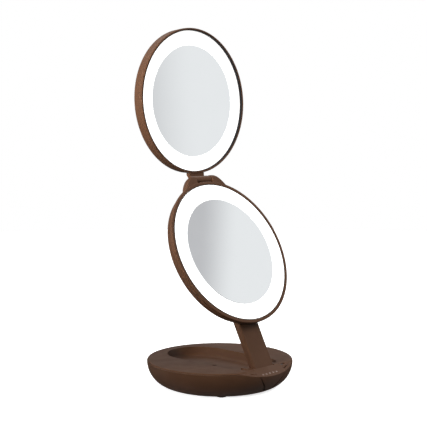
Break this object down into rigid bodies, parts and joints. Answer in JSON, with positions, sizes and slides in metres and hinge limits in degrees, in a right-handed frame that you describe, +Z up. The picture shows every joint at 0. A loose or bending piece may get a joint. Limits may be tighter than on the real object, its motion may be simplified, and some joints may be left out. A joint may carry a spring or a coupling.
{
  "type": "lighted vanity mirror",
  "caption": "Folding lighted vanity mirror: round bowl base, hinged flat arm, lower lit mirror that swivels on it, and an upper lit mirror hinged above.",
  "frame": {"origin": "middle of the underside, on the plane of the rubber feet", "axes": "+Z up, the mirrors and the arm's foot face -Y, +X to the right of a person in front of the mirror"},
  "size_m": [0.1286, 0.1246, 0.3052],
  "materials": {
    "housing_plastic": "fine satin texture, cocoa brown",
    "mark_ink": "pad print, pale",
    "pin_steel": "turned steel",
    "screw_steel": "dark zinc plated steel",
    "friction_nylon": "natural nylon",
    "cell_jacket": "printed sleeve",
    "contact_plate": "nickel plated spring steel",
    "bay_plastic": "plain black",
    "slider_plastic": "dark brown, fine ribs",
    "foot_rubber": "matte",
    "board_laminate": "white solder mask",
    "wire_sleeve": "soft insulation",
    "mirror_silver": "silvered glass",
    "diffuser_acrylic": "opal, satin",
    "tray_plastic": "white reflective",
    "lamp_resin": "phosphor window"
  },
  "bodies": {
    "base": {"base_shell": "housing_plastic", "base_deck": "housing_plastic", "front_cap": "housing_plastic", "cap_mark": "mark_ink", "foot_pin": "pin_steel", "foot_washers": "friction_nylon", "battery_cells": "cell_jacket", "battery_contacts": "contact_plate", "battery_bay": "bay_plastic", "battery_door": "housing_plastic", "door_screw": "screw_steel", "rubber_feet": "foot_rubber", "base_screws": "screw_steel", "middle_screw": "screw_steel", "driver_board": "board_laminate", "switch_body": "bay_plastic"},
    "slider": {"power_slider": "slider_plastic"},
    "arm": {"arm_front_shell": "housing_plastic", "arm_back_cover": "housing_plastic", "arm_screws": "screw_steel", "arm_wires": "wire_sleeve", "hub_bush": "friction_nylon", "hub_washer": "pin_steel"},
    "lower_head": {"hub_spindle": "pin_steel", "hub_clip": "pin_steel", "lower_back_housing": "housing_plastic", "lower_bezel": "housing_plastic", "lower_mirror_glass": "mirror_silver", "lower_light_ring": "diffuser_acrylic", "lower_tray": "tray_plastic", "lower_led_board": "board_laminate", "lower_leds": "lamp_resin", "lower_screws": "screw_steel", "hinge_ears": "housing_plastic", "hinge_pin": "pin_steel", "hinge_washers": "friction_nylon"},
    "upper_head": {"upper_back_housing": "housing_plastic", "upper_bezel": "housing_plastic", "upper_mirror_glass": "mirror_silver", "upper_light_ring": "diffuser_acrylic", "upper_tray": "tray_plastic", "upper_led_board": "board_laminate", "upper_leds": "lamp_resin", "upper_screws": "screw_steel", "upper_knuckle": "housing_plastic"}
  },
  "joints": [
    {"name": "arm_fold", "type": "hinge", "parent": "base", "child": "arm", "pos_m": [0, -0.0471, 0.0174], "axis": [1, 0, 0], "range_deg": [-62.75, 7]},
    {"name": "hub_swivel", "type": "hinge", "parent": "arm", "child": "lower_head", "pos_m": [0, -0.01789, 0.08722], "axis": [0, -0.889, 0.4579], "range_deg": [-90, 90]},
    {"name": "upper_fold", "type": "hinge", "parent": "lower_head", "child": "upper_head", "pos_m": [0, 0.02144, 0.17529], "axis": [1, 0, 0], "range_deg": [-24.8, 155.1]},
    {"name": "power_slide", "type": "slide", "parent": "base", "child": "slider", "axis": [1, 0, 0], "range_m": [0, 0.002]}
  ]
}
